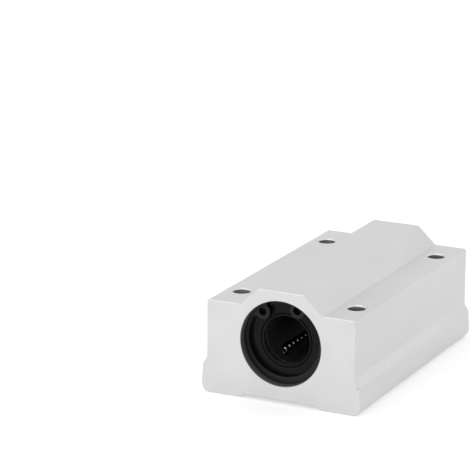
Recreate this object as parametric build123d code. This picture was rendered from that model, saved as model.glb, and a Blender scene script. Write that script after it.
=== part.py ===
from build123d import *
import math
import os

# Linear bearing block for a 12 mm shaft, long type: one aluminium housing with two ball bushings in line.
# Millimetres. X runs across the block, Y along the shaft and Z up.
# The origin is on the base plane, under the middle of the block.

# Shaft and ball circuits
SHAFT_DIAMETER = 12.0
BALL_DIAMETER = 2.381
BALL_GAP = 0.019  # between neighbours
FIRST_BALL_LEAD = -0.46  # along the track from the start of the loaded row to the first ball
CIRCUIT_COUNT = 4
FIRST_CIRCUIT_ANGLE = 229.7  # degrees from +X towards +Z, seen from the front
TRACK_WALL = 1.1  # cage wall between the loaded row and the return row
RACE_CLEARANCE = 0.02
RELIEF_CLEARANCE = 0.06

# Cage
POCKET_CLEARANCE = 0.035
LIP_DROP = 0.69  # from a ball's centre down to the lips that keep it in
THROAT_CLEARANCE = 0.03
CAGE_SHAFT_GAP = 0.25
CAGE_FIT = 0.08
CAGE_END_WALL = 2.77

# Sleeve
BEARING_LENGTH = 30.0
SLEEVE_WALL = 1.26  # outside the return channels
SLEEVE_EDGE = 0.5
SLEEVE_GROOVE_WIDTH = 1.3
SLEEVE_GROOVE_DEPTH = 0.5
SLEEVE_GROOVE_INSET = 3.5  # from the sleeve's end to the near wall of the groove

# Seals and side rings, inside each end of a sleeve
SEAL_RECESS = 0.45
SEAL_THICKNESS = 1.3
SEAL_FIT = 0.02
LIP_FACE_WIDTH = 0.55  # from the shaft to the groove that sets the lip off
LIP_EDGE = 0.15
LIP_LAND = 0.4
LIP_BACK_WIDTH = 1.3
SEAL_GROOVE_WIDTH = 0.3
SEAL_GROOVE_DEPTH = 0.35
SIDE_RING_THICKNESS = 1.2
SIDE_RING_SHAFT_GAP = 0.6
STACK_GAP = 0.02

# Spacer ring between the two bushings
BEARING_SPACING = 4.0
SPACER_SHAFT_GAP = 1.6
SPACER_GROOVE_WIDTH = 2.0
SPACER_GROOVE_DEPTH = 1.1
SPACER_HOLE_DIAMETER = 2.0
SPACER_HOLE_COUNT = 2

# Retaining rings
RING_SETBACK = 1.9  # from the housing's end face to the groove
RING_GROOVE_WIDTH = 1.1
RING_GROOVE_DEPTH = 0.5
RING_SIDE_PLAY = 0.05
RING_FIT = 0.03
RING_BAND_WIDEST = 2.2
RING_BAND_NARROWEST = 1.1
RING_LUG_ANGLE = 31.0  # from the middle of the gap to a lug
RING_LUG_RADIUS = 1.9
RING_LUG_INSET = 2.07  # from the ring's outer edge to the middle of the plier hole
RING_HOLE_DIAMETER = 2.05
RING_LUG_FILLET = 0.8
FRONT_RING_TURN = 98.5
REAR_RING_TURN = 81.5

# Housing
HOUSING_FIT = 0.01
FLOOR_UNDER_BORE = 4.49
ROOF_OVER_BORE = 2.49
SHOULDER_DROP = 4.5
RIDGE_TOP_WIDTH = 12.5
RIDGE_SLOPE_RUN = 4.85
SHOULDER_CORNER_RADIUS = 0.6
SIDE_STEP = 1.4
FOOT_HEIGHT = 7.3
FOOT_STRAIGHT_HEIGHT = 3.0
FOOT_LEAN = 0.3  # from there to its top, a foot's side leans in by this much
FOOT_RAMP_RISE = 1.4
FOOT_CORNER_RADIUS = 2.0
FOOT_TOP_RADIUS = 0.8
FOOT_ROOT_RADIUS = 3.0
RECESS_DEPTH = 0.8
RECESS_RAMP_RUN = 1.2
END_EDGE_BREAK = 0.2
BORE_MOUTH_CHAMFER = 0.2

# Mounting holes, tapped from below and drilled through to the shoulders
TAP_DIAMETER = 5.0
TAP_DEPTH = 12.0
DRILL_DIAMETER = 4.3
HOLE_TO_BORE_WALL = 2.24
HOLE_TO_SIDE_WALL = 1.85
HOLE_TO_RECESS_WALL = 2.05
HOLE_END_DISTANCE = 10.0
TAP_CHAMFER = 0.6
DRILL_CHAMFER = 0.35

# Grease port in the left side
PORT_TAP_DIAMETER = 6.0
PORT_TAP_DEPTH = 8.0
PORT_DRILL_DIAMETER = 5.0
PORT_CHAMFER = 0.4

# Bushing radii, worked out from the shaft outwards
shaft_radius = SHAFT_DIAMETER / 2
ball_radius = BALL_DIAMETER / 2
row_radius = shaft_radius + ball_radius
race_radius = row_radius + ball_radius + RACE_CLEARANCE
row_offset = BALL_DIAMETER + TRACK_WALL
turn_radius = row_offset / 2
return_radius = math.hypot(row_radius, row_offset)
relief_radius = return_radius + ball_radius + RELIEF_CLEARANCE
sleeve_radius = relief_radius + SLEEVE_WALL
seat_radius = relief_radius - SEAL_FIT

# Bushing lengths, from its end inwards
ring_start = SEAL_RECESS + SEAL_THICKNESS + STACK_GAP
cage_start = ring_start + SIDE_RING_THICKNESS + STACK_GAP
pocket_width = BALL_DIAMETER + 2 * POCKET_CLEARANCE
track_end = cage_start + CAGE_END_WALL + pocket_width / 2
row_length = BEARING_LENGTH - 2 * (track_end + turn_radius)
ball_pitch = BALL_DIAMETER + BALL_GAP
half_track = row_length + math.pi * turn_radius
race_lead = relief_radius - race_radius

# Housing sizes, worked out round the bushings
bore_radius = sleeve_radius + HOUSING_FIT
shaft_height = FLOOR_UNDER_BORE + bore_radius
block_height = shaft_height + bore_radius + ROOF_OVER_BORE
bearing_setback = RING_SETBACK + RING_GROOVE_WIDTH
block_length = 2 * (bearing_setback + BEARING_LENGTH) + BEARING_SPACING
groove_radius = bore_radius + RING_GROOVE_DEPTH
hole_x = bore_radius + HOLE_TO_BORE_WALL + TAP_DIAMETER / 2
hole_y = block_length / 2 - HOLE_END_DISTANCE
wall_x = hole_x + TAP_DIAMETER / 2 + HOLE_TO_SIDE_WALL
recess_x = hole_x - TAP_DIAMETER / 2 - HOLE_TO_RECESS_WALL
bearing_y = (BEARING_SPACING + BEARING_LENGTH) / 2


def turned(outline):
    """Solid of revolution about Y. Each point is a radius and a place along Y."""
    return revolve(make_face(Polyline(*outline, close=True)), Axis.Y)


def pipe(outer, inner, start, end):
    """Plain ring about Y."""
    return turned([(outer, start), (outer, end), (inner, end), (inner, start)])


def radial_plane(angle):
    """Plane through the shaft's axis whose Z points out along a radius, with X towards growing angles."""
    turn = math.radians(angle)
    outwards = (math.cos(turn), 0, math.sin(turn))
    onwards = (-math.sin(turn), 0, math.cos(turn))
    return Plane(origin=(0, 0, 0), x_dir=onwards, z_dir=outwards)


def circuit_planes():
    """One plane for each ball circuit. Its loaded row lies over the plane's own Y axis."""
    step = 360 / CIRCUIT_COUNT
    return [radial_plane(FIRST_CIRCUIT_ANGLE + step * number) for number in range(CIRCUIT_COUNT)]


def housing_section():
    """Section across the shaft: two feet, side walls, shoulders, and a ridge over the bore."""
    foot_x = wall_x + SIDE_STEP
    foot_top_x = foot_x - FOOT_LEAN
    foot_top = FOOT_HEIGHT + FOOT_RAMP_RISE
    shoulder_z = block_height - SHOULDER_DROP
    ridge_x = RIDGE_TOP_WIDTH / 2
    right = [
        (recess_x - RECESS_RAMP_RUN, RECESS_DEPTH),
        (recess_x, 0),
        (foot_x, 0),
        (foot_x, FOOT_STRAIGHT_HEIGHT),
        (foot_top_x, FOOT_HEIGHT),
        (wall_x, foot_top),
        (wall_x, shoulder_z),
        (ridge_x + RIDGE_SLOPE_RUN, shoulder_z),
        (ridge_x, block_height),
    ]
    left = [(-x, z) for x, z in reversed(right)]
    section = make_face(Polyline(*right, *left, close=True))
    rounds = [
        (foot_x, 0, FOOT_CORNER_RADIUS),
        (foot_top_x, FOOT_HEIGHT, FOOT_TOP_RADIUS),
        (wall_x, foot_top, FOOT_ROOT_RADIUS),
        (wall_x, shoulder_z, SHOULDER_CORNER_RADIUS),
    ]
    for x, z, radius in rounds:
        corners = [v for v in section.vertices() if math.hypot(abs(v.X) - x, v.Y - z) < 1e-4]
        section = fillet(corners, radius)
    return section


def bore_tool():
    """The through bore with its chamfered mouths and the two ring grooves."""
    half = block_length / 2
    beyond = half + 1
    groove_out = half - RING_SETBACK
    groove_in = groove_out - RING_GROOVE_WIDTH
    mouth_radius = bore_radius + BORE_MOUTH_CHAMFER
    rear = [
        (bore_radius, groove_in),
        (groove_radius, groove_in),
        (groove_radius, groove_out),
        (bore_radius, groove_out),
        (bore_radius, half - BORE_MOUTH_CHAMFER),
        (mouth_radius, half),
        (mouth_radius, beyond),
        (0, beyond),
    ]
    front = [(radius, -y) for radius, y in reversed(rear)]
    return Pos(0, 0, shaft_height) * turned(rear + front)


def hole_tool():
    """One mounting hole about Z: tapped from the base, then drilled through to the shoulder."""
    top = block_height - SHOULDER_DROP
    tap_radius = TAP_DIAMETER / 2
    drill_radius = DRILL_DIAMETER / 2
    beyond = 1.0
    tap_end = TAP_DEPTH + tap_radius - drill_radius
    outline = [
        (0, -beyond),
        (tap_radius + TAP_CHAMFER, -beyond),
        (tap_radius + TAP_CHAMFER, 0),
        (tap_radius, TAP_CHAMFER),
        (tap_radius, TAP_DEPTH),
        (drill_radius, tap_end),
        (drill_radius, top - DRILL_CHAMFER),
        (drill_radius + DRILL_CHAMFER, top),
        (drill_radius + DRILL_CHAMFER, top + beyond),
        (0, top + beyond),
    ]
    return Rot(90, 0, 0) * turned(outline)


def port_tool():
    """The grease port along X: tapped from the left side, then drilled on into the bore."""
    tap_radius = PORT_TAP_DIAMETER / 2
    drill_radius = PORT_DRILL_DIAMETER / 2
    beyond = 1.0
    tap_end = wall_x - PORT_TAP_DEPTH
    outline = [
        (0, bore_radius - drill_radius),
        (drill_radius, bore_radius - drill_radius),
        (drill_radius, tap_end - tap_radius + drill_radius),
        (tap_radius, tap_end),
        (tap_radius, wall_x - PORT_CHAMFER),
        (tap_radius + PORT_CHAMFER, wall_x),
        (tap_radius + PORT_CHAMFER, wall_x + beyond),
        (0, wall_x + beyond),
    ]
    return Pos(0, 0, shaft_height) * Rot(0, 0, 90) * turned(outline)


def housing():
    body = extrude(Plane.XZ * housing_section(), block_length / 2, both=True)
    for end in body.faces().filter_by(Axis.Y):
        outline = end.outer_wire().edges()
        body = chamfer([e for e in body.edges() if any(e.is_same(o) for o in outline)], END_EDGE_BREAK)
    body -= bore_tool()
    for place in GridLocations(2 * hole_x, 2 * hole_y, 2, 2):
        body -= place * hole_tool()
    return body - port_tool()


def retaining_ring(turn):
    """Internal spring ring in the XZ plane. Its band tapers towards two lugs with plier holes."""
    outer_radius = groove_radius - RING_FIT
    inner_radius = outer_radius - (RING_BAND_WIDEST + RING_BAND_NARROWEST) / 2
    shift = (RING_BAND_WIDEST - RING_BAND_NARROWEST) / 2
    lug_radius = outer_radius - RING_LUG_INSET
    end_angle = RING_LUG_ANGLE - math.degrees(math.asin(RING_LUG_RADIUS / lug_radius))
    lug_places = PolarLocations(lug_radius, 2, -RING_LUG_ANGLE, 2 * RING_LUG_ANGLE, endpoint=True)
    outside = Circle(outer_radius)
    inside = Pos(shift, 0) * Circle(inner_radius)
    reach = 2 * outer_radius
    far = (reach, reach * math.tan(math.radians(end_angle)))
    gap = make_face(Polyline((0, 0), far, (far[0], -far[1]), close=True))
    lugs = Sketch() + lug_places * Circle(RING_LUG_RADIUS)
    holes = Sketch() + lug_places * Circle(RING_HOLE_DIAMETER / 2)
    band = outside - inside + lugs
    band = fillet(lug_roots(band, shift, inner_radius), RING_LUG_FILLET)
    sketch = band - gap + lugs - holes
    thickness = RING_GROOVE_WIDTH - 2 * RING_SIDE_PLAY
    ring = extrude(Plane.XZ * Rot(0, 0, turn) * sketch, thickness / 2, both=True)
    return ring


def lug_roots(band, shift, inner_radius):
    """The corners where a lug's edge meets the band's inner edge, on the side away from the gap."""
    roots = []
    for vertex in band.vertices():
        on_inner_edge = abs(math.hypot(vertex.X - shift, vertex.Y) - inner_radius) < 1e-4
        angle = abs(math.degrees(math.atan2(vertex.Y, vertex.X)))
        if on_inner_edge and angle > RING_LUG_ANGLE:
            roots.append(vertex)
    return roots


def spacer_ring():
    """Ring between the sleeves with a grease groove round it and radial holes to the shaft."""
    half = BEARING_SPACING / 2 - STACK_GAP
    ring = pipe(sleeve_radius, shaft_radius + SPACER_SHAFT_GAP, -half, half)
    groove_floor = sleeve_radius - SPACER_GROOVE_DEPTH
    groove_half = SPACER_GROOVE_WIDTH / 2
    ring -= pipe(sleeve_radius + 1, groove_floor, -groove_half, groove_half)
    for number in range(SPACER_HOLE_COUNT):
        plane = radial_plane(180 + 360 / SPACER_HOLE_COUNT * number)
        ring -= extrude(plane * Circle(SPACER_HOLE_DIAMETER / 2), sleeve_radius)
    return ring


def sleeve():
    """Outer race: ring grooves outside, and a raised race inside with a channel for each return row."""
    half = BEARING_LENGTH / 2
    race_half = row_length / 2
    groove_out = half - SLEEVE_GROOVE_INSET
    groove_in = groove_out - SLEEVE_GROOVE_WIDTH
    groove_floor = sleeve_radius - SLEEVE_GROOVE_DEPTH
    rear = [
        (race_radius, race_half),
        (relief_radius, race_half + race_lead),
        (relief_radius, half),
        (sleeve_radius - SLEEVE_EDGE, half),
        (sleeve_radius, half - SLEEVE_EDGE),
        (sleeve_radius, groove_out),
        (groove_floor, groove_out),
        (groove_floor, groove_in),
        (sleeve_radius, groove_in),
    ]
    front = [(radius, -y) for radius, y in reversed(rear)]
    channel_width = BALL_DIAMETER + 2 * RELIEF_CLEARANCE
    channel_length = row_length + 2 * race_lead
    channel = Pos(row_offset, 0, relief_radius / 2) * Box(channel_width, channel_length, relief_radius)
    core = pipe(relief_radius, race_radius - 1, -channel_length / 2, channel_length / 2)
    body = turned(rear + front)
    for plane in circuit_planes():
        body -= plane * channel & core
    return body


def track_sketch(width):
    """Closed track of one circuit, seen along the radius through its loaded row."""
    outer = SlotCenterToCenter(row_length, row_offset + width, rotation=90)
    inner = SlotCenterToCenter(row_length, row_offset - width, rotation=90)
    return Pos(turn_radius, 0) * (outer - inner)


def track_tool():
    """Pocket for one circuit, with a narrower throat below the lips that keep the balls in."""
    lip_height = row_radius - LIP_DROP
    throat_floor = shaft_radius - THROAT_CLEARANCE
    throat_width = 2 * (math.sqrt(ball_radius**2 - LIP_DROP**2) + THROAT_CLEARANCE)
    pocket = Pos(0, 0, lip_height) * extrude(track_sketch(pocket_width), relief_radius)
    throat = Pos(0, 0, throat_floor) * extrude(track_sketch(throat_width), lip_height - throat_floor)
    return pocket + throat


def cage():
    """Moulded cage: waisted outside to pass the race, with one endless track for each circuit."""
    half = BEARING_LENGTH / 2 - cage_start
    waist_half = row_length / 2
    end_radius = relief_radius - CAGE_FIT
    waist_radius = race_radius - CAGE_FIT
    bore = shaft_radius + CAGE_SHAFT_GAP
    rear = [
        (waist_radius, waist_half),
        (end_radius, waist_half + race_lead),
        (end_radius, half),
        (bore, half),
    ]
    front = [(radius, -y) for radius, y in reversed(rear)]
    body = turned(rear + front)
    for plane in circuit_planes():
        body -= plane * track_tool()
    return body


def ball():
    """Faceted ball: a chamfered block whose 24 corners all lie on the true sphere."""
    flat = 1 + math.sqrt(2)
    unit = ball_radius / math.hypot(1, 1, flat)
    block = Box(2 * flat * unit, 2 * flat * unit, 2 * flat * unit)
    return chamfer(block.edges(), math.sqrt(2) * unit)


def track_point(distance):
    """Point on the track's centre line, this far along it from the start of the loaded row."""
    half_laps, along = divmod(distance, half_track)
    angle = max(0, along - row_length) / turn_radius
    x = turn_radius * (1 - math.cos(angle))
    y = min(along, row_length) - row_length / 2 + turn_radius * math.sin(angle)
    if half_laps % 2 == 1:
        return row_offset - x, -y
    return x, y


def ball_places():
    """Centres of the balls, each set against the last one, until the next would meet the first."""
    step = BALL_GAP / 4
    distance = FIRST_BALL_LEAD
    place = track_point(distance)
    places = []
    while distance < FIRST_BALL_LEAD + half_track or math.dist(place, places[0]) >= ball_pitch:
        places.append(place)
        while math.dist(place, places[-1]) < ball_pitch:
            distance += step
            place = track_point(distance)
    return places


def ball_circuit(plane):
    """One closed loop of balls: the loaded row, the return row and the two turns between them."""
    one_ball = ball()
    balls = [plane * Pos(x, y, row_radius) * one_ball for x, y in ball_places()]
    return Compound(balls)


def seal():
    """Seal for the rear end of a bushing: a flat washer with a groove round the lip that meets the shaft."""
    face = BEARING_LENGTH / 2 - SEAL_RECESS
    back = face - SEAL_THICKNESS
    lip_front = face - LIP_EDGE
    groove_start = shaft_radius + LIP_FACE_WIDTH
    outline = [
        (seat_radius, face),
        (seat_radius, back),
        (shaft_radius + LIP_BACK_WIDTH, back),
        (shaft_radius, lip_front - LIP_LAND),
        (shaft_radius, lip_front),
        (shaft_radius + LIP_EDGE, face),
        (groove_start, face),
        (groove_start + SEAL_GROOVE_WIDTH / 2, face - SEAL_GROOVE_DEPTH),
        (groove_start + SEAL_GROOVE_WIDTH, face),
    ]
    return turned(outline)


def side_ring():
    """Flat ring between the seal and the cage, for the rear end of a bushing."""
    end = BEARING_LENGTH / 2 - ring_start
    return pipe(seat_radius, shaft_radius + SIDE_RING_SHAFT_GAP, end - SIDE_RING_THICKNESS, end)


def bushing(name, y, outwards):
    """Every piece of one bushing, in place. Outwards is 1 where the outer end faces +Y."""
    place = Pos(0, y, shaft_height)
    outer_turn = Rot(0, 0, 0 if outwards > 0 else 180)
    inner_turn = Rot(0, 0, 180 if outwards > 0 else 0)
    pieces = {
        name + "_sleeve": place * sleeve(),
        name + "_cage": place * cage(),
        name + "_seal_outer": place * outer_turn * seal(),
        name + "_seal_inner": place * inner_turn * seal(),
        name + "_side_ring_outer": place * outer_turn * side_ring(),
        name + "_side_ring_inner": place * inner_turn * side_ring(),
    }
    for number, plane in enumerate(circuit_planes(), start=1):
        pieces[f"{name}_ball_circuit_{number}"] = place * ball_circuit(plane)
    return pieces


def block():
    ring_y = block_length / 2 - RING_SETBACK - RING_GROOVE_WIDTH / 2
    pieces = {
        "housing": housing(),
        "front_retaining_ring": Pos(0, -ring_y, shaft_height) * retaining_ring(FRONT_RING_TURN),
        "rear_retaining_ring": Pos(0, ring_y, shaft_height) * retaining_ring(REAR_RING_TURN),
        "spacer_ring": Pos(0, 0, shaft_height) * spacer_ring(),
    }
    pieces.update(bushing("front", -bearing_y, -1))
    pieces.update(bushing("rear", bearing_y, 1))
    return pieces


os.makedirs("parts", exist_ok=True)
for name, shape in block().items():
    export_step(shape, f"parts/{name}.step")
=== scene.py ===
import math

import bmesh
import bpy
from mathutils import Matrix, Vector


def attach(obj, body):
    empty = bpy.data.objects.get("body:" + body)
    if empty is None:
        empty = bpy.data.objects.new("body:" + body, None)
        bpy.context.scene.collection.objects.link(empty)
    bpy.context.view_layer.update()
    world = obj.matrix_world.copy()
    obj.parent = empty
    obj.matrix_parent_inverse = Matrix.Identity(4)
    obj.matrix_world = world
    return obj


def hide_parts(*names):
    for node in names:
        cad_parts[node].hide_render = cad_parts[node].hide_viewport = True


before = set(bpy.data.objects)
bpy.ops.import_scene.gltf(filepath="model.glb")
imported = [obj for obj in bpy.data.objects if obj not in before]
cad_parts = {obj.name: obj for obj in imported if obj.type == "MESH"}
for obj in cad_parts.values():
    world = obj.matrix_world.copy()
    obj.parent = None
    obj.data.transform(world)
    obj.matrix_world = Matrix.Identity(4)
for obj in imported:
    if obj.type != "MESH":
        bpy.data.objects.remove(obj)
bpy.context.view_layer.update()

# Linear bearing block for a 12 mm shaft. X runs across it, Y along the shaft and Z up, in metres.
MM = 0.001
UP = Vector((0, 0, 1))
SHAFT_AXIS = 15 * MM * UP
ENDS = ("front", "rear")
SIDES = ("outer", "inner")
CIRCUITS = (1, 2, 3, 4)

# The housing's surfaces that look different from its faces
BORE_WALL_REACH = 11.2 * MM  # from the shaft's axis, past the floor of the ring grooves
BORE_WALL_HALF_LENGTH = 34.98 * MM  # just short of the end faces
HOLE_X = 15.25 * MM  # the four mounting holes stand at plus and minus these
HOLE_Y = 25 * MM
DRILLED_WALL_REACH = 2.2 * MM  # from a hole's axis, just past its drilled wall
# A small round spot on the front is painted darker
DARK_SPOT_PLACE = Vector((20.3, -35, 7.0)) * MM  # on the front, by the top of the right foot
DARK_SPOT_RADIUS = 0.32 * MM

SLEEVE_GROUND_RADIUS = 10.49 * MM  # the ground outside of a bushing lies beyond it

BALL_RADIUS = 1.1905 * MM
BALL_DIVISIONS = 4  # 1280 triangles, round in a close view
SAME_CORNER = 0.001 * MM  # corners of the CAD mesh nearer than this are one

# Tapped threads, in millimetres: major and minor radius, pitch and length
BASE_THREAD = (2.5, 2.15, 0.8, 11.7)
BASE_THREAD_START = 0.3 * MM  # Z, inside the hole's mouth
PORT_THREAD = (3.0, 2.46, 1.0, 7.8)
PORT_THREAD_START = -19.4 * MM  # X, inside the port's mouth
THREAD_STEPS = 40  # in a turn
THREAD_ROOT_DEPTH = 0.03  # how far the ridge reaches into the hole's wall
THREAD_CREST_WIDTH = 1 / 4  # of the pitch
THREAD_ROOT_WIDTH = 7 / 8  # of the pitch
THREAD_FADE_STEPS = 0.4 * THREAD_STEPS  # over which each end fades out
THREAD_LEAST_HEIGHT = 0.02  # of the full height, at the very ends

NOISE_LOW = 0.3  # most of a noise's values lie between these
NOISE_HIGH = 0.7

WORLD_LIGHT = 0.66  # strength of the light from all round, where 1 is white
PAPER_LIFT = 0.35  # glow that brings the paper to white in the picture and keeps the shadow
FLOOR_HALF_SIZE = 3.0
FLOOR_SQUARES = 8
FLOOR_DROP = 0.02 * MM  # keeps the paper just clear of the base
LAMPS = (  # name, place, width and watts
    ("overhead_softbox", (-0.25, -0.02, 0.92), 1.0, 1.8),
    ("front_softbox", (-0.50, -1.15, 0.30), 1.1, 4.6),
    ("side_softbox", (0.88, 0.42, 0.47), 1.2, 1.5),
)
CAMERA_PLACE = (0.25577, -0.57737, 0.21093)
CAMERA_DEGREES = (74.264, -0.357, 26.396)
CAMERA_LENS = 202.52  # mm
CAMERA_SENSOR = 36.0  # mm
CAMERA_NEAREST = 0.01


def colour(hex_code):
    """A colour written as sRGB hex, as the linear values that the shaders take."""
    channels = [int(hex_code[place:place + 2], 16) / 255 for place in (1, 3, 5)]
    linear = [c / 12.92 if c <= 0.04045 else ((c + 0.055) / 1.055) ** 2.4 for c in channels]
    return (*linear, 1.0)


def per_mm(x, y, z):
    """Mapping scale for a pattern whose features are this many millimetres long on each axis."""
    return (1000 / x, 1000 / y, 1000 / z)


def add(owner, kind, inputs=(), **settings):
    """Adds one node to a material or world. Each input is a value, or another node's output to link."""
    node = owner.node_tree.nodes.new(kind)
    for name, value in settings.items():
        setattr(node, name, value)
    for socket, value in dict(inputs).items():
        if isinstance(value, bpy.types.NodeSocket):
            owner.node_tree.links.new(value, node.inputs[socket])
        else:
            node.inputs[socket].default_value = value
    return node


def new_material(name):
    """A material that has no nodes yet."""
    material = bpy.data.materials.new(name)
    material.use_nodes = True
    material.node_tree.nodes.clear()
    return material


def finish(material, surface):
    """Ends a material with its shader, which takes these inputs."""
    shader = add(material, "ShaderNodeBsdfPrincipled", surface)
    add(material, "ShaderNodeOutputMaterial", {"Surface": shader.outputs["BSDF"]})
    return material


def point_on_part(material):
    """Where the shaded point lies on the part, in metres."""
    return add(material, "ShaderNodeTexCoord").outputs["Object"]


def distance_from_shaft_axis(material, point):
    """How far the shaded point lies from the shaft's axis."""
    across = add(material, "ShaderNodeVectorMath", {
        0: point, 1: (1, 0, 1), 2: (0, 0, -SHAFT_AXIS.z),
    }, operation="MULTIPLY_ADD")
    distance = add(material, "ShaderNodeVectorMath", {0: across.outputs["Vector"]}, operation="LENGTH")
    return distance.outputs["Value"]


def grain(material, size, detail=2.0):
    """Noise whose features have the given size in millimetres along X, Y and Z."""
    scaled = add(material, "ShaderNodeMapping", {"Vector": point_on_part(material), "Scale": per_mm(*size)})
    noise = add(material, "ShaderNodeTexNoise", {
        "Vector": scaled.outputs["Vector"], "Scale": 1.0, "Detail": detail, "Roughness": 0.5,
    })
    return noise.outputs["Fac"]


def turned_lines(material, pitch):
    """Noise that runs in rings about the shaft's axis, as a lathe or a grinder leaves it."""
    point = point_on_part(material)
    parts = add(material, "ShaderNodeSeparateXYZ", {"Vector": point})
    ring = add(material, "ShaderNodeCombineXYZ", {
        "X": distance_from_shaft_axis(material, point), "Y": parts.outputs["Y"],
    })
    scaled = add(material, "ShaderNodeMapping", {
        "Vector": ring.outputs["Vector"], "Scale": per_mm(pitch, pitch, pitch),
    })
    noise = add(material, "ShaderNodeTexNoise", {
        "Vector": scaled.outputs["Vector"], "Scale": 1.0, "Detail": 1.0,
    })
    return noise.outputs["Fac"]


def spread(material, noise, low, high):
    """The noise's middle range stretched between two values."""
    stretched = add(material, "ShaderNodeMapRange", {
        "Value": noise, "From Min": NOISE_LOW, "From Max": NOISE_HIGH, "To Min": low, "To Max": high,
    })
    return stretched.outputs["Result"]


def mottled(material, noise, dark, light):
    """A colour that wanders between two close tones with the noise."""
    tone = add(material, "ShaderNodeMix", {
        "Factor": spread(material, noise, 0.0, 1.0), "A": colour(dark), "B": colour(light),
    }, data_type="RGBA")
    return tone.outputs["Result"]


def on_bore_wall(material, point):
    """1 on the walls of the bore and its ring grooves, 0 on the rest of the housing."""
    near = add(material, "ShaderNodeMath", {
        0: distance_from_shaft_axis(material, point), 1: BORE_WALL_REACH,
    }, operation="LESS_THAN")
    parts = add(material, "ShaderNodeSeparateXYZ", {"Vector": point})
    along = add(material, "ShaderNodeMath", {0: parts.outputs["Y"]}, operation="ABSOLUTE")
    within = add(material, "ShaderNodeMath", {
        0: along.outputs["Value"], 1: BORE_WALL_HALF_LENGTH,
    }, operation="LESS_THAN")
    both = add(material, "ShaderNodeMath", {
        0: near.outputs["Value"], 1: within.outputs["Value"],
    }, operation="MULTIPLY")
    return both.outputs["Value"]


def on_drilled_wall(material, point):
    """1 on the drilled walls of the four mounting holes, 0 on the rest of the housing."""
    folded = add(material, "ShaderNodeVectorMath", {0: point}, operation="ABSOLUTE")
    from_hole = add(material, "ShaderNodeVectorMath", {
        0: folded.outputs["Vector"], 1: (1, 1, 0), 2: (-HOLE_X, -HOLE_Y, 0),
    }, operation="MULTIPLY_ADD")
    distance = add(material, "ShaderNodeVectorMath", {0: from_hole.outputs["Vector"]}, operation="LENGTH")
    near = add(material, "ShaderNodeMath", {
        0: distance.outputs["Value"], 1: DRILLED_WALL_REACH,
    }, operation="LESS_THAN")
    return near.outputs["Value"]


def in_dark_spot(material, point):
    """1 in the middle of the small dark spot on the front, 0 from its rim outwards."""
    distance = add(material, "ShaderNodeVectorMath", {0: point, 1: DARK_SPOT_PLACE}, operation="DISTANCE")
    depth = add(material, "ShaderNodeMapRange", {
        "Value": distance.outputs["Value"], "From Max": DARK_SPOT_RADIUS, "To Min": 1.0, "To Max": 0.0,
    })
    return depth.outputs["Result"]


def clear_anodised_aluminium():
    """Extruded aluminium, blasted and clear anodised. The film makes it an even, silky pale grey.

    Fine lines run along the extrusion, and a small spot by the right foot is painted darker. The drilled
    walls of the mounting holes are painted a little darker than the faces, as painted shade inside the holes.
    The bored wall is painted dark grey and dull, as painted shade inside the bore, which takes it to near
    black.
    """
    material = new_material("clear_anodised_aluminium")
    point = point_on_part(material)
    die_lines = grain(material, (0.45, 60, 0.45), detail=3.0)
    blast = grain(material, (0.22, 0.22, 0.22))  # real grit is 0.1 mm, drawn coarser so that it shows
    cloud = grain(material, (9, 22, 9))  # slow drift in the film's thickness
    # Mask for the painted shade on the bore wall
    bore_shade = on_bore_wall(material, point)

    film = mottled(material, cloud, "#CCCCCC", "#D0D0D0")
    # A small spot by the right foot is painted darker
    spotted_film = add(material, "ShaderNodeMix", {
        "Factor": in_dark_spot(material, point), "A": film, "B": colour("#A0A0A0"),
    }, data_type="RGBA")
    # Painted shade: the drilled walls of the mounting holes are painted a little darker, for the shade inside
    # the holes
    faces = add(material, "ShaderNodeMix", {
        "Factor": on_drilled_wall(material, point), "A": spotted_film.outputs["Result"], "B": colour("#BABABA"),
    }, data_type="RGBA")
    # Painted shade: the bore wall is painted dark grey, dull and not metallic, in place of the shade inside
    # the bore
    skin = add(material, "ShaderNodeMix", {
        "Factor": bore_shade, "A": faces.outputs["Result"], "B": colour("#575757"),
    }, data_type="RGBA")
    gloss = add(material, "ShaderNodeMix", {
        "Factor": bore_shade, "A": spread(material, cloud, 0.40, 0.46), "B": 0.38,
    }, data_type="FLOAT")
    metallic_outside_bore = add(material, "ShaderNodeMath", {0: 1.0, 1: bore_shade}, operation="SUBTRACT")

    lengthwise = add(material, "ShaderNodeBump", {
        "Height": die_lines, "Strength": 0.35, "Distance": 0.012 * MM,
    })
    gritty = add(material, "ShaderNodeBump", {
        "Height": blast, "Strength": 0.35, "Distance": 0.008 * MM, "Normal": lengthwise.outputs["Normal"],
    })
    return finish(material, {
        "Base Color": skin.outputs["Result"],
        "Roughness": gloss.outputs["Result"],
        "Metallic": metallic_outside_bore.outputs["Value"],
        "Normal": gritty.outputs["Normal"],
    })


def tapped_aluminium():
    """Bare aluminium as the tap leaves it, smooth and oily. The thread shows as dark and light rings."""
    material = new_material("tapped_aluminium")
    oil = grain(material, (0.6, 0.6, 0.6))
    return finish(material, {
        "Base Color": mottled(material, oil, "#ADADAD", "#B5B5B5"),
        "Roughness": spread(material, oil, 0.18, 0.28),
        "Metallic": 1.0,
    })


def phosphated_spring_steel():
    """Spring steel with a black phosphate coat, oiled. Near black, with a soft grey sheen."""
    material = new_material("phosphated_spring_steel")
    crystals = grain(material, (0.16, 0.16, 0.16), detail=3.0)  # real ones are 0.02 mm, drawn coarser to show
    pitted = add(material, "ShaderNodeBump", {"Height": crystals, "Strength": 0.4, "Distance": 0.01 * MM})
    return finish(material, {
        "Base Color": mottled(material, crystals, "#202020", "#2A2A2A"),
        "Roughness": spread(material, crystals, 0.34, 0.44),
        "Metallic": 0.8,
        "Normal": pitted.outputs["Normal"],
    })


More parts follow.
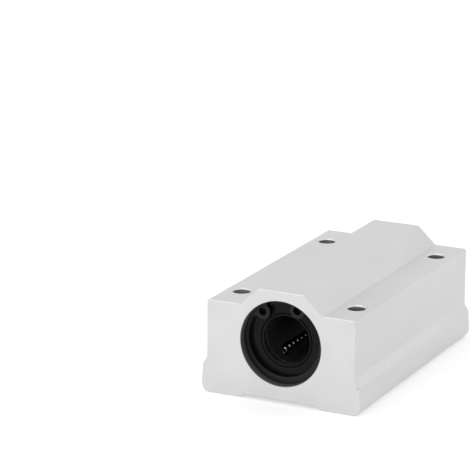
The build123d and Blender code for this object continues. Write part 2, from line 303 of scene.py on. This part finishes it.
def worked_steel(name, dark, light, pitch, low, high):
    """Bare steel with rings of tool marks about the shaft's axis. They give it a fine, streaky sheen.

    The pitch is the distance from mark to mark in millimetres.
    """
    material = new_material(name)
    marks = turned_lines(material, pitch)
    cut = add(material, "ShaderNodeBump", {"Height": marks, "Strength": 0.3, "Distance": 0.006 * MM})
    return finish(material, {
        "Base Color": mottled(material, marks, dark, light),
        "Roughness": spread(material, marks, low, high),
        "Metallic": 1.0,
        "Normal": cut.outputs["Normal"],
    })


def ground_bearing_steel():
    """Sleeve steel: ground bright on its outside and near black everywhere else."""
    material = new_material("ground_bearing_steel")
    lines = turned_lines(material, 0.12)  # real grinding lines are 0.02 mm apart, drawn coarser to show
    inside = add(material, "ShaderNodeMath", {
        0: distance_from_shaft_axis(material, point_on_part(material)), 1: SLEEVE_GROUND_RADIUS,
    }, operation="LESS_THAN")
    tone = add(material, "ShaderNodeMix", {
        "Factor": inside.outputs["Value"],
        "A": mottled(material, lines, "#9C9DA0", "#AEAFB2"),
        "B": colour("#252525"),
    }, data_type="RGBA")
    gloss = add(material, "ShaderNodeMix", {
        "Factor": inside.outputs["Value"], "A": spread(material, lines, 0.18, 0.26), "B": 0.4,
    }, data_type="FLOAT")
    return finish(material, {
        "Base Color": tone.outputs["Result"],
        "Roughness": gloss.outputs["Result"],
        "Metallic": 1.0,
    })


def polished_bearing_steel():
    """Lapped ball steel. A mirror with a very slight haze of oil, so that each ball holds a bright point."""
    material = new_material("polished_bearing_steel")
    oil = grain(material, (0.9, 0.9, 0.9))
    return finish(material, {
        "Base Color": colour("#98989A"),
        "Roughness": spread(material, oil, 0.03, 0.07),
        "Metallic": 1.0,
    })


def moulded(name, dark, light, ior, shine, low, high, size):
    """A moulded black material, soft and even in its sheen. Shine is the specular level, 0.5 when clean.

    Size is the grain of its mould in millimetres, drawn coarser than the real 0.1 mm so that it shows.
    """
    material = new_material(name)
    texture = grain(material, (size, size, size), detail=3.0)
    pebbled = add(material, "ShaderNodeBump", {"Height": texture, "Strength": 0.3, "Distance": 0.01 * MM})
    return finish(material, {
        "Base Color": mottled(material, texture, dark, light),
        "Roughness": spread(material, texture, low, high),
        "Normal": pebbled.outputs["Normal"],
        "IOR": ior,
        "Specular IOR Level": shine,
    })


def looked_at(owner):
    """1 for what the camera sees, directly or mirrored, and 0 for light that falls on a surface."""
    ray = add(owner, "ShaderNodeLightPath")
    seen = add(owner, "ShaderNodeMath", {
        0: ray.outputs["Is Camera Ray"], 1: ray.outputs["Is Glossy Ray"],
    }, operation="MAXIMUM")
    shown = add(owner, "ShaderNodeMath", {
        0: seen.outputs["Value"], 1: ray.outputs["Is Transmission Ray"],
    }, operation="MAXIMUM")
    return shown.outputs["Value"]


def studio_paper():
    """White paper. Seen by the camera or in the metal it is plain white, and it keeps the block's shadow."""
    material = new_material("studio_paper")
    fibres = grain(material, (1.5, 1.5, 1.5))  # real fibres are 0.05 mm thick, drawn coarser to show
    tone = add(material, "ShaderNodeMix", {
        "Factor": fibres, "A": colour("#EDEDED"), "B": colour("#EFEFEF"),
    }, data_type="RGBA")
    lift = add(material, "ShaderNodeMath", {0: looked_at(material), 1: PAPER_LIFT}, operation="MULTIPLY")
    return finish(material, {
        "Base Color": tone.outputs["Result"],
        "Roughness": 0.9,
        "Specular IOR Level": 0.0,
        "Emission Color": (1, 1, 1, 1),
        "Emission Strength": lift.outputs["Value"],
    })


def dress(node, material):
    """Gives a CAD node its material."""
    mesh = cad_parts[node].data
    mesh.materials.clear()
    mesh.materials.append(material)


def piece(name, mesh, material):
    """A new piece on the block, which takes the given material."""
    mesh.materials.append(material)
    obj = bpy.data.objects.new(name, mesh)
    bpy.context.scene.collection.objects.link(obj)
    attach(obj, "root")
    return obj


def ball_centres(node):
    """The middle of each faceted ball in a circuit's CAD mesh."""
    shape = bmesh.new()
    shape.from_mesh(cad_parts[node].data)
    bmesh.ops.remove_doubles(shape, verts=shape.verts, dist=SAME_CORNER)
    centres = []
    seen = set()
    for first in shape.verts:
        if first in seen:
            continue
        corners = [first]
        seen.add(first)
        for corner in corners:
            for edge in corner.link_edges:
                other = edge.other_vert(corner)
                if other not in seen:
                    seen.add(other)
                    corners.append(other)
        centres.append(sum((corner.co for corner in corners), Vector()) / len(corners))
    shape.free()
    return centres


def smooth_balls(name, centres):
    """True round balls at the given places."""
    shape = bmesh.new()
    for centre in centres:
        place = Matrix.Translation(centre)
        bmesh.ops.create_icosphere(shape, subdivisions=BALL_DIVISIONS, radius=BALL_RADIUS, matrix=place)
    for face in shape.faces:
        face.smooth = True
    mesh = bpy.data.meshes.new(name)
    shape.to_mesh(mesh)
    shape.free()
    return mesh


def thread_ridge(name, size, place):
    """Helical ridge of a tapped hole along local Z, which starts at the place.

    The ridge stands on the hole's wall and fades out over the last part of a turn at each end.
    """
    major, minor, pitch, length = size
    sunk = major + THREAD_ROOT_DEPTH
    crest_width = pitch * THREAD_CREST_WIDTH
    root_width = pitch * THREAD_ROOT_WIDTH
    count = int((length / pitch - 1) * THREAD_STEPS)
    corners = []
    for step in range(count + 1):
        angle = 2 * math.pi * step / THREAD_STEPS
        height = pitch * (0.5 + step / THREAD_STEPS)
        fade = min(1.0, step / THREAD_FADE_STEPS, (count - step) / THREAD_FADE_STEPS)
        crest = major - (major - minor) * max(fade, THREAD_LEAST_HEIGHT)
        half_crest = (crest_width + (root_width - crest_width) * (crest - minor) / (major - minor)) / 2
        half_root = root_width / 2
        outline = [(sunk, -half_root), (crest, -half_crest), (crest, half_crest), (sunk, half_root)]
        outward = Vector((math.cos(angle), math.sin(angle), 0))
        corners += [place @ ((outward * r + UP * (height + z)) * MM) for r, z in outline]
    faces = []
    for near in range(0, 4 * count, 4):
        far = near + 4
        for side in range(4):
            onward = (side + 1) % 4
            faces.append((near + side, near + onward, far + onward, far + side))
    faces.append((3, 2, 1, 0))
    faces.append(tuple(4 * count + side for side in range(4)))
    mesh = bpy.data.meshes.new(name)
    mesh.from_pydata(corners, [], faces)
    shape = bmesh.new()
    shape.from_mesh(mesh)
    bmesh.ops.recalc_face_normals(shape, faces=shape.faces)
    shape.to_mesh(mesh)
    shape.free()
    return mesh


def dress_housing():
    """The housing, with a tapped thread in each base hole and in the grease port."""
    dress("housing", clear_anodised_aluminium())
    thread_metal = tapped_aluminium()
    hole_places = [(x, y) for y in (-HOLE_Y, HOLE_Y) for x in (-HOLE_X, HOLE_X)]
    for number, (x, y) in enumerate(hole_places, start=1):
        name = f"base_thread_{number}"
        place = Matrix.Translation((x, y, BASE_THREAD_START))
        piece(name, thread_ridge(name, BASE_THREAD, place), thread_metal)
    sideways = Matrix.Rotation(math.radians(90), 4, "Y")
    port_place = Matrix.Translation((PORT_THREAD_START, 0, SHAFT_AXIS.z)) @ sideways
    port_thread = thread_ridge("port_thread", PORT_THREAD, port_place)
    piece("port_thread", port_thread, thread_metal)


def dress_rings():
    """The retaining ring at each end, and the spacer ring between the bushings."""
    ring_metal = phosphated_spring_steel()
    for end in ENDS:
        dress(f"{end}_retaining_ring", ring_metal)
    dress("spacer_ring", worked_steel("turned_steel", "#8E8F91", "#A6A7A9", 0.2, 0.26, 0.36))


def dress_bushings():
    """Both ball bushings. Smooth balls take the place of the faceted ones."""
    sleeve_metal = ground_bearing_steel()
    side_ring_metal = worked_steel("pressed_steel", "#8A8B8E", "#9C9DA0", 0.35, 0.3, 0.4)
    ball_metal = polished_bearing_steel()
    cage_resin = moulded("moulded_acetal", "#1F1F1F", "#272727", 1.48, 0.35, 0.50, 0.60, 0.3)
    # A film of grease takes most of the rubber's shine
    seal_rubber = moulded("nitrile_rubber", "#131313", "#181818", 1.50, 0.10, 0.16, 0.24, 0.25)
    for end in ENDS:
        dress(f"{end}_sleeve", sleeve_metal)
        dress(f"{end}_cage", cage_resin)
        for side in SIDES:
            dress(f"{end}_seal_{side}", seal_rubber)
            dress(f"{end}_side_ring_{side}", side_ring_metal)
        for number in CIRCUITS:
            node = f"{end}_ball_circuit_{number}"
            name = f"{end}_round_balls_{number}"
            balls = piece(name, smooth_balls(name, ball_centres(node)), ball_metal)
            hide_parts(node)


def studio_world():
    """Even light from all round. The camera and the metal see it as plain white."""
    world = bpy.data.worlds.new("studio_world")
    world.use_nodes = True
    world.node_tree.nodes.clear()
    strength = add(world, "ShaderNodeMapRange", {
        "Value": looked_at(world), "To Min": WORLD_LIGHT, "To Max": 1.0,
    })
    light = add(world, "ShaderNodeBackground", {
        "Color": (1, 1, 1, 1), "Strength": strength.outputs["Result"],
    })
    add(world, "ShaderNodeOutputWorld", {"Surface": light.outputs["Background"]})
    bpy.context.scene.world = world


def studio_floor():
    """A wide sheet of paper under the block."""
    shape = bmesh.new()
    bmesh.ops.create_grid(shape, x_segments=FLOOR_SQUARES, y_segments=FLOOR_SQUARES, size=FLOOR_HALF_SIZE)
    mesh = bpy.data.meshes.new("floor")
    shape.to_mesh(mesh)
    shape.free()
    mesh.materials.append(studio_paper())
    floor = bpy.data.objects.new("floor", mesh)
    floor.location.z = -FLOOR_DROP
    bpy.context.scene.collection.objects.link(floor)


def soft_lamp(name, place, size, power):
    """A square softbox that faces the middle of the block."""
    data = bpy.data.lights.new(name, "AREA")
    data.shape = "SQUARE"
    data.size = size
    data.energy = power
    lamp = bpy.data.objects.new(name, data)
    lamp.location = place
    lamp.rotation_euler = (SHAFT_AXIS - Vector(place)).to_track_quat("-Z", "Y").to_euler()
    bpy.context.scene.collection.objects.link(lamp)


def photo_camera():
    """A long lens in front of the block, to its right and above it."""
    data = bpy.data.cameras.new("photo_camera")
    data.lens = CAMERA_LENS
    data.sensor_width = CAMERA_SENSOR
    data.clip_start = CAMERA_NEAREST
    camera = bpy.data.objects.new("photo_camera", data)
    camera.location = CAMERA_PLACE
    camera.rotation_euler = [math.radians(angle) for angle in CAMERA_DEGREES]
    bpy.context.scene.collection.objects.link(camera)
    bpy.context.scene.camera = camera


dress_rings()
dress_bushings()
dress_housing()

studio_world()
studio_floor()
for name, place, size, power in LAMPS:
    soft_lamp(name, place, size, power)
photo_camera()

bpy.context.scene.view_settings.view_transform = "Standard"
bpy.context.view_layer.update()
